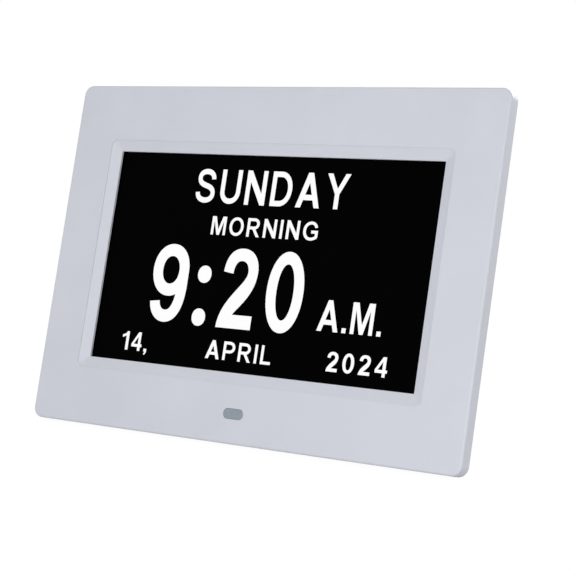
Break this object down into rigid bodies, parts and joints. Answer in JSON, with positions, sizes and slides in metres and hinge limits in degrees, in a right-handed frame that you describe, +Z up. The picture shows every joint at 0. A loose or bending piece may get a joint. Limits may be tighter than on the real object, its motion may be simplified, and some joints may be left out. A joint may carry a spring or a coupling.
{
  "type": "day clock",
  "caption": "Upright desk clock with a wide flat frame, a sloped display window, keys on the back and a folding leg.",
  "frame": {"origin": "middle of the footprint, on the surface that the clock stands on", "axes": "+X to the right as the display is read, +Y to the back, +Z up"},
  "size_m": [0.205, 0.0784, 0.1421],
  "materials": {
    "white_shell": "fine satin moulded white",
    "white_leg": "fine satin moulded white",
    "white_button": "satin moulded",
    "sensor_lens": "smoky grey, slightly clear",
    "display_surface": "black, low gloss",
    "display_cell": "clear glass",
    "optical_film": "milky clear",
    "white_tray": "matt white",
    "lamp": "pale yellow",
    "foam": "black foam",
    "sheet_steel": "plated",
    "screw_steel": "zinc plated",
    "flat_cable": "amber film",
    "circuit_board": "green solder mask",
    "black_package": "black moulded",
    "capacitor_can": "satin",
    "connector_plastic": "ivory moulded",
    "cell_steel": "bright",
    "wire_cover": "black insulation",
    "magnet": "dark ferrite",
    "speaker_paper": "pressed paper",
    "plunger": "black moulded",
    "foot_rubber": "matt dark grey",
    "label": "blank silver grey film"
  },
  "bodies": {
    "case": {"front_frame": "white_shell", "rear_cover": "white_shell", "sensor_window": "sensor_lens", "light_receiver": "black_package", "sensor_board": "circuit_board", "sensor_cable": "flat_cable", "display_frame": "sheet_steel", "window_gasket": "foam", "front_polarizer": "display_surface", "display_glass": "display_cell", "diffuser_sheet": "optical_film", "light_guide": "optical_film", "display_back_tray": "white_tray", "backlight_strip": "white_tray", "backlight_lamps": "lamp", "display_flex": "flat_cable", "display_clips": "sheet_steel", "clip_screws": "screw_steel", "main_board": "circuit_board", "processor": "black_package", "memory_chip": "black_package", "clock_crystal": "sheet_steel", "power_coil": "black_package", "capacitors": "capacitor_can", "wire_connectors": "connector_plastic", "flex_sockets": "connector_plastic", "cell_holder": "connector_plastic", "backup_cell": "cell_steel", "power_jack": "black_package", "power_jack_pin": "cell_steel", "board_screws": "screw_steel", "button_board": "circuit_board", "button_switches": "black_package", "button_board_screws": "screw_steel", "button_cable": "wire_cover", "speaker_cup": "sheet_steel", "speaker_magnet": "magnet", "speaker_cone": "speaker_paper", "speaker_gasket": "foam", "speaker_wires": "wire_cover", "case_screws": "screw_steel", "stand_pin": "screw_steel", "rating_label": "label"},
    "stand": {"stand_leg": "white_leg", "stand_foot": "foot_rubber"},
    "power_key": {"button_power": "white_button", "plunger_power": "plunger"},
    "menu_key": {"button_menu": "white_button", "plunger_menu": "plunger"},
    "left_key": {"button_left": "white_button", "plunger_left": "plunger"},
    "up_key": {"button_up": "white_button", "plunger_up": "plunger"},
    "down_key": {"button_down": "white_button", "plunger_down": "plunger"},
    "right_key": {"button_right": "white_button", "plunger_right": "plunger"},
    "ok_key": {"button_ok": "white_button", "plunger_ok": "plunger"}
  },
  "joints": [
    {"name": "stand_hinge", "type": "hinge", "parent": "case", "child": "stand", "pos_m": [0, 0.00592, 0.09389], "axis": [1, 0, 0], "range_deg": [-33.5, 0]},
    {"name": "power_press", "type": "slide", "parent": "case", "child": "power_key", "axis": [0, -0.9636, 0.2672], "range_m": [0, 0.0004], "stiffness_N_per_m": 3000},
    {"name": "menu_press", "type": "slide", "parent": "case", "child": "menu_key", "axis": [0, -0.9636, 0.2672], "range_m": [0, 0.0004], "stiffness_N_per_m": 3000},
    {"name": "left_press", "type": "slide", "parent": "case", "child": "left_key", "axis": [0, -0.9636, 0.2672], "range_m": [0, 0.0004], "stiffness_N_per_m": 3000},
    {"name": "up_press", "type": "slide", "parent": "case", "child": "up_key", "axis": [0, -0.9636, 0.2672], "range_m": [0, 0.0004], "stiffness_N_per_m": 3000},
    {"name": "down_press", "type": "slide", "parent": "case", "child": "down_key", "axis": [0, -0.9636, 0.2672], "range_m": [0, 0.0004], "stiffness_N_per_m": 3000},
    {"name": "right_press", "type": "slide", "parent": "case", "child": "right_key", "axis": [0, -0.9636, 0.2672], "range_m": [0, 0.0004], "stiffness_N_per_m": 3000},
    {"name": "ok_press", "type": "slide", "parent": "case", "child": "ok_key", "axis": [0, -0.9636, 0.2672], "range_m": [0, 0.0004], "stiffness_N_per_m": 3000}
  ]
}
